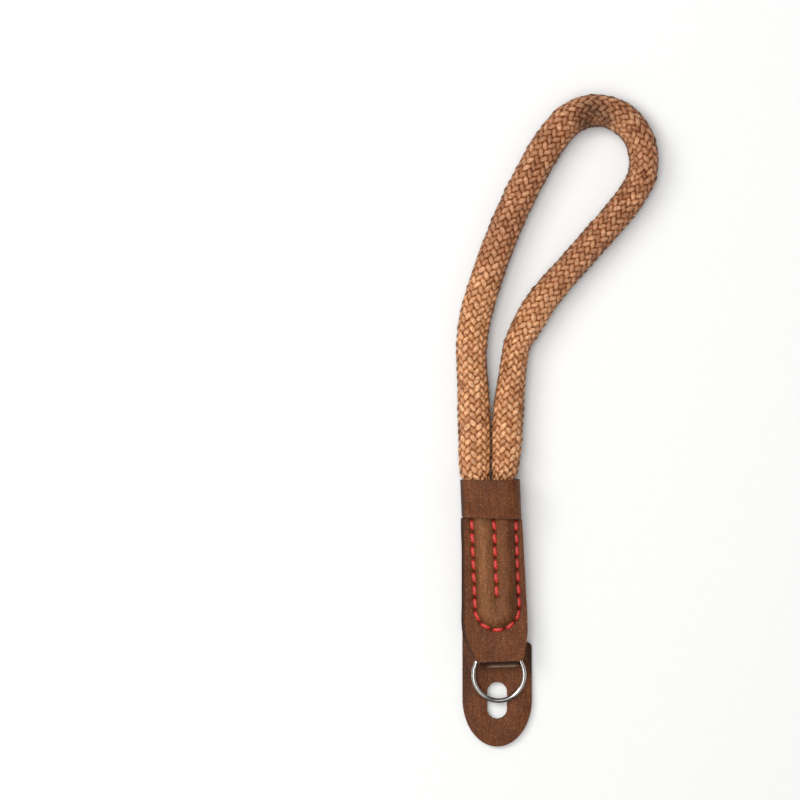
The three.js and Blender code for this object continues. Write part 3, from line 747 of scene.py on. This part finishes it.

# The fold's painted highlight is strongest at HIGHLIGHT_TURN round the bar, in radians, short of
# its two ends.
# The lip on the body's left is darkened as painted shade, and so is the top of the fold just
# below the front panel's edge, as painted shadow.
HIGHLIGHT_TURN, HIGHLIGHT_REACH, HIGHLIGHT_LEFT, HIGHLIGHT_RIGHT = 1.9, 0.42, -4.6, 6.4
bent = np.exp(-((turn - HIGHLIGHT_TURN) / HIGHLIGHT_REACH) ** 2)
across = np.clip((x - HIGHLIGHT_LEFT) / 2, 0, 1) * np.clip((HIGHLIGHT_RIGHT - x) / 1.2, 0, 1)
set_shape(back, x, y, z, crest=np.where(on_body, ridge_share * 0.6, 0),
          pressed=np.where(on_body, dark, 0), rubbed=0.8 * bent * across,
          shaded=np.where(on_body, 0.8 * (share_x < -0.9),
                          0.9 * np.clip((turn - 2.2) / 0.3, 0, 1)))
finish_leather(back, "back_panel", 0.001 * PANEL, PANEL_EDGE)

# ---- stitches ----
# Saddle stitch in thick waxed polyester thread, red, through both panels with a 4.6 mm step.
# Two needles pass through each hole, so the same row shows in front and behind.
THREAD_LONG, THREAD_WIDE, THREAD_HIGH = 3.8, 1.6, 1.15
ENDS_DOWN = 0.55  # how far a stitch dives at its two ends
THREAD_SUNK, THREAD_LAY = 0.12, 1.1  # how deep it beds, and the length of a turn of its plies
STITCH_SLANT = 7  # in degrees, as two needles leave it


def waxed_thread():
    """Waxed polyester thread, two plies twisted: red, with a soft gloss and slanted plies, each ply
    lighter on top as a painted highlight and darker between as painted shade.
    """
    material, tree, output, place = blank_material("waxed_polyester_thread")
    _, ply = plies(tree, "thread")
    fluff = add_node(tree, "ShaderNodeTexNoise", {"Scale": 1 / 0.0005, "Detail": 3},
                     {"Vector": place})
    lines = add_node(tree, "ShaderNodeMapRange", {1: -1.0, 2: 1.0, 3: 0.0, 4: 1.0},
                     {0: ply.outputs[0]})
    colour = add_node(tree, "ShaderNodeMix", {**COLOURS, 6: linear("AF1613"), 7: linear("E34038")},
                      {0: lines.outputs[0]})
    height = add_node(tree, "ShaderNodeMath", {"operation": "MULTIPLY_ADD", 1: 0.4},
                      {0: fluff.outputs[0], 2: lines.outputs[0]})
    bump = add_node(tree, "ShaderNodeBump", {"Strength": 0.5, "Distance": 0.0001},
                    {"Height": height.outputs[0]})
    shader = add_node(tree, "ShaderNodeBsdfPrincipled",
                      {"Roughness": 0.42, "IOR": 1.5, "Coat Weight": 0.12, "Coat Roughness": 0.35},
                      {"Base Color": colour.outputs[2], "Normal": bump.outputs[0]})
    tree.links.new(shader.outputs[0], output.inputs[0])
    return material


bpy.ops.object.select_all(action="DESELECT")
bpy.ops.mesh.primitive_uv_sphere_add(segments=16, ring_count=14, radius=0.5)
stitch = bpy.context.object
bpy.ops.object.mode_set(mode="EDIT")
bpy.ops.mesh.select_all(action="SELECT")
bpy.ops.transform.rotate(value=math.pi / 2, orient_axis="Y", center_override=(0, 0, 0))
bpy.ops.transform.resize(value=(THREAD_LONG, THREAD_WIDE, THREAD_HIGH),
                         center_override=(0, 0, 0))
bpy.ops.object.mode_set(mode="OBJECT")
one = np.array([vertex.co for vertex in stitch.data.vertices])
one_faces = [list(face.vertices) for face in stitch.data.polygons]
bpy.data.objects.remove(stitch)
blunt = np.sign(one[:, 0]) * THREAD_LONG / 2 * np.sin(np.pi * np.abs(one[:, 0]) / THREAD_LONG)
one[:, 0] = 0.5 * one[:, 0] + 0.5 * blunt
one[:, 2] -= ENDS_DOWN * (2 * one[:, 0] / THREAD_LONG) ** 4
rng = np.random.default_rng(5)
points, faces, around = [], [], []
for side in (1, -1):
    for px, py, angle in stitches:
        plane = read_off(body_sizes, py)[3]
        height = outer_height(np.array(px), np.array(py))[0] - THREAD_SUNK + rng.normal(0, 0.03)
        slant = angle + math.radians(STITCH_SLANT + rng.normal(0, 3.5))
        cos, sin = math.cos(slant), math.sin(slant)
        swell = 1 + rng.normal(0, 0.05)
        x = px + one[:, 0] * cos - one[:, 1] * swell * sin
        y = py + one[:, 0] * sin + one[:, 1] * swell * cos
        z = plane + side * (height + one[:, 2])
        start = len(points) * len(one)
        points.append(0.001 * np.stack([x + MIDDLE_X, y, z], axis=1))
        faces += [[start + k for k in face[::side]] for face in one_faces]
        lap = np.arctan2(one[:, 1], one[:, 2]) / (2 * np.pi)
        around.append(np.stack([2 * lap + one[:, 0] / THREAD_LAY, one[:, 0]], axis=1))
seam = mesh_piece("seam_stitches", points, faces, waxed_thread())
around = np.vstack(around)
layer = seam.data.uv_layers.new(name="thread")
corner = np.empty(len(seam.data.loops), dtype=int)
seam.data.loops.foreach_get("vertex_index", corner)
layer.data.foreach_set("uv", around[corner].ravel())

# ---- D-ring ----
# Steel wire of 1.6 mm bent round a former, its ends butted behind the leather, nickel plated.
# It hangs in the fold of the back panel and leans on the guard pad.
WIRE, HALF_WIDE, HALF_BAR, LEG, BOW = 0.0008, 0.0089, 0.0079, 0.0050, 0.0094
CORNER = 0.0010
LEG_BEND, BENT_IN = 0.45, 0.25  # shares of a leg and of its lean inwards, at its lower bend
BOW_DROP = 0.0017  # how far the bow's end hangs below the bar
LEAN = math.asin(BOW_DROP / (LEG + BOW))


def plated_wire():
    """Bright nickel on drawn steel wire: nearly a mirror, a little clouded and warm, and darker
    grey along the bow as a painted dark reflection."""
    material, tree, output, place = blank_material("steel_wire_nickel_plated")
    wear = add_node(tree, "ShaderNodeTexNoise", {"Scale": 1 / 0.0012, "Detail": 3},
                    {"Vector": place})
    colour = add_node(tree, "ShaderNodeMix", {**COLOURS, 6: linear("B2B0AC"), 7: linear("D2CFC9")},
                      {0: wear.outputs[0]})
    # The bow is darker grey, a painted dark reflection.
    parts = add_node(tree, "ShaderNodeSeparateXYZ", {}, {"Vector": place})
    painted_tone = add_node(tree, "ShaderNodeMapRange",
                    {**SMOOTH, 1: -0.0304, 2: -0.0286, 3: 0.3, 4: 1.0}, {0: parts.outputs["Y"]})
    bow_painted_dark = add_node(tree, "ShaderNodeVectorMath", {"operation": "SCALE"},
                         {0: colour.outputs[2], "Scale": painted_tone.outputs[0]})
    rough = add_node(tree, "ShaderNodeMapRange", {1: 0.3, 2: 0.7, 3: 0.14, 4: 0.2},
                     {0: wear.outputs[0]})
    bump = add_node(tree, "ShaderNodeBump", {"Strength": 0.05, "Distance": 0.00003},
                    {"Height": wear.outputs[0]})
    shader = add_node(tree, "ShaderNodeBsdfPrincipled", {"Metallic": 1.0},
                      {"Base Color": bow_painted_dark.outputs[0], "Roughness": rough.outputs[0],
                       "Normal": bump.outputs[0]})
    tree.links.new(shader.outputs[0], output.inputs[0])
    return material


def pick_ends(mesh, side):
    """Select the open rim of the wire on one side, and nothing else."""
    work = bmesh.from_edit_mesh(mesh)
    for vertex in work.verts:
        vertex.select = False
    work.select_flush(False)
    for edge in work.edges:
        edge.select = edge.is_boundary and all(side * v.co.x > 0 for v in edge.verts)
    bmesh.update_edit_mesh(mesh)


bpy.ops.object.select_all(action="DESELECT")
bpy.ops.mesh.primitive_torus_add(major_radius=HALF_WIDE, minor_radius=WIRE,
                                 major_segments=96, minor_segments=20)
ring = bpy.context.object
ring.name = ring.data.name = "d_ring_wire"
bpy.ops.object.mode_set(mode="EDIT")
bpy.ops.mesh.select_mode(type="EDGE")
bpy.ops.mesh.select_all(action="SELECT")
bpy.ops.mesh.bisect(plane_co=(0, 0, 0), plane_no=(0, 1, 0), clear_outer=True)
bpy.ops.mesh.select_all(action="SELECT")
bpy.ops.transform.resize(value=(1, BOW / HALF_WIDE, 1), center_override=(0, 0, 0))
bpy.ops.transform.translate(value=(0, -LEG, 0))
lean_in = HALF_WIDE - HALF_BAR
for side in (-1, 1):
    for share, drawn_in in ((LEG_BEND, BENT_IN), (1 - CORNER / LEG - LEG_BEND, 1 - BENT_IN)):
        pick_ends(ring.data, side)
        bpy.ops.mesh.extrude_edges_move(TRANSFORM_OT_translate={
            "value": (-side * lean_in * drawn_in, LEG * share, 0)})
    pick_ends(ring.data, side)
    bpy.ops.mesh.spin(steps=6, angle=-side * math.pi / 2, axis=(0, 0, 1),
                      center=(side * (HALF_BAR - CORNER), -CORNER, 0))
pick(ring.data, "edges", lambda edge: edge.is_boundary)
bpy.ops.mesh.bridge_edge_loops()
bpy.ops.mesh.select_all(action="SELECT")
bpy.ops.mesh.remove_doubles(threshold=0.00001)
bpy.ops.mesh.normals_make_consistent(inside=False)
bpy.ops.object.mode_set(mode="OBJECT")
ring.location, ring.rotation_euler = hinge, (LEAN, 0, 0)
bpy.ops.object.transform_apply(location=True, rotation=True, scale=True)
ring.data.materials.append(plated_wire())
ring.data.shade_smooth()
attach(ring, "ring")
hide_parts("d_ring")

# ---- guard pad ----
# A shield of 2 mm leather under the ring, with a punched slot for the camera's split ring,
# which keeps the metal off the camera body.
PAD_HALF, PAD_STRAIGHT, PAD_ROUND, PAD_CORNER, PAD_WALL = 0.01215, 0.0196, 0.0166, 0.0013, 0.002
PAD_SLANT = 0.0046  # its top left corner is cut this much higher than the right one
PAD_EDGE = 0.00045
PAD_PLACE, PAD_TURN = (0.0004, -0.011, PAD_WALL), math.radians(-2.2)
SLOT_HALF, SLOT_LONG, SLOT_MIDDLE = 0.0035, 0.0129, 0.02005
A_HAIR = 0.00001  # so that rounding leaves no point out when points are picked by height
bpy.ops.object.select_all(action="DESELECT")
bpy.ops.mesh.primitive_circle_add(vertices=96, radius=PAD_HALF)
pad = bpy.context.object
pad.name = pad.data.name = "guard_pad_leather"
bpy.ops.object.mode_set(mode="EDIT")
bpy.ops.mesh.select_mode(type="VERT")
bpy.ops.mesh.select_all(action="SELECT")
bpy.ops.mesh.bisect(plane_co=(0, 0, 0), plane_no=(0, 1, 0), clear_outer=True)
bpy.ops.mesh.select_all(action="SELECT")
bpy.ops.transform.resize(value=(1, PAD_ROUND / PAD_HALF, 1), center_override=(0, 0, 0))
bpy.ops.transform.translate(value=(0, -PAD_STRAIGHT, 0))


def pick_high(mesh, level):
    """Select the points above a level, and the edges between them."""
    work = bmesh.from_edit_mesh(mesh)
    for vertex in work.verts:
        vertex.select = vertex.co.y > level
    work.select_flush(True)
    bmesh.update_edit_mesh(mesh)


pick_high(pad.data, -PAD_STRAIGHT - A_HAIR)
bpy.ops.mesh.extrude_vertices_move(TRANSFORM_OT_translate={"value": (0, PAD_STRAIGHT, 0)})
pick_high(pad.data, -A_HAIR)
bpy.ops.mesh.edge_face_add()
pick_high(pad.data, -A_HAIR)
work = bmesh.from_edit_mesh(pad.data)
for vertex in work.verts:
    vertex.co.y += PAD_SLANT * (vertex.select and vertex.co.x < 0)
bmesh.update_edit_mesh(pad.data)
bpy.ops.mesh.bevel(offset=PAD_CORNER, segments=6, affect="VERTICES")
bpy.ops.mesh.select_all(action="DESELECT")
bpy.ops.mesh.primitive_circle_add(vertices=48, radius=SLOT_HALF, location=(0, -SLOT_MIDDLE, 0))
stretch = SLOT_LONG / 2 - SLOT_HALF
bpy.ops.transform.translate(value=(0, -stretch, 0))
work = bmesh.from_edit_mesh(pad.data)
for vertex in work.verts:
    vertex.select = vertex.select and vertex.co.y > -SLOT_MIDDLE - stretch - A_HAIR
work.select_flush(True)
bmesh.update_edit_mesh(pad.data)
bpy.ops.transform.translate(value=(0, 2 * stretch, 0))
bpy.ops.mesh.select_mode(type="EDGE")
bpy.ops.mesh.select_all(action="SELECT")
bpy.ops.mesh.fill()
bpy.ops.mesh.select_all(action="SELECT")
bpy.ops.mesh.normals_make_consistent(inside=False)
bpy.ops.mesh.tris_convert_to_quads()
bpy.ops.object.mode_set(mode="OBJECT")
if sum(face.normal.z * face.area for face in pad.data.polygons) < 0:
    pad.data.flip_normals()
pad.location, pad.rotation_euler = PAD_PLACE, (0, 0, PAD_TURN)
bpy.ops.object.transform_apply(location=True, rotation=True, scale=True)
finish_leather(pad, "guard_pad", PAD_WALL, PAD_EDGE)

# ---- table and light ----
# A matt white table, a very large soft box overhead, a smaller one on the left and a pale
# room all round.


def matt_white():
    """Matt white lacquer on board: nearly even, with a faint roller texture."""
    material, tree, output, place = blank_material("lacquered_board_matt")
    roller = add_node(tree, "ShaderNodeTexNoise", {"Scale": 1 / 0.004, "Detail": 2},
                      {"Vector": place})
    colour = add_node(tree, "ShaderNodeMix", {**COLOURS, 6: linear("F8F8F7"), 7: linear("FBFBFA")},
                      {0: roller.outputs[0]})
    shader = add_node(tree, "ShaderNodeBsdfPrincipled",
                      {"Roughness": 0.9, "Specular IOR Level": 0.1},
                      {"Base Color": colour.outputs[2]})
    tree.links.new(shader.outputs[0], output.inputs[0])
    return material


bpy.ops.object.select_all(action="DESELECT")
bpy.ops.mesh.primitive_plane_add(size=6, location=(0, 0, -0.0001))
table = bpy.context.object
table.name = table.data.name = "table_top"
bpy.ops.object.transform_apply(location=True, rotation=True, scale=True)
table.data.materials.append(matt_white())

STRAP_MIDDLE = Vector((0.0, 0.08, 0.0))


def soft_box(name, place, size, power):
    """A soft box of a given width and length at a place, turned to face the strap's middle."""
    data = bpy.data.lights.new(name, "AREA")
    data.shape, data.energy = "RECTANGLE", power
    data.size, data.size_y = size
    light = bpy.data.objects.new(name, data)
    light.location = place
    light.rotation_euler = (STRAP_MIDDLE - Vector(place)).to_track_quat("-Z", "Y").to_euler()
    bpy.context.collection.objects.link(light)


soft_box("overhead_box", (-0.25, 0.12, 1.5), (1.8, 0.8), 14.0)
soft_box("key_box", (-0.65, 0.4, 0.8), (0.5, 0.5), 4.2)
room = bpy.data.worlds.new("white_room")
room.use_nodes = True
room.node_tree.nodes["Background"].inputs["Color"].default_value = linear("FFFFFF")
room.node_tree.nodes["Background"].inputs["Strength"].default_value = 0.35
bpy.context.scene.world = room
bpy.context.scene.view_settings.view_transform = "Standard"
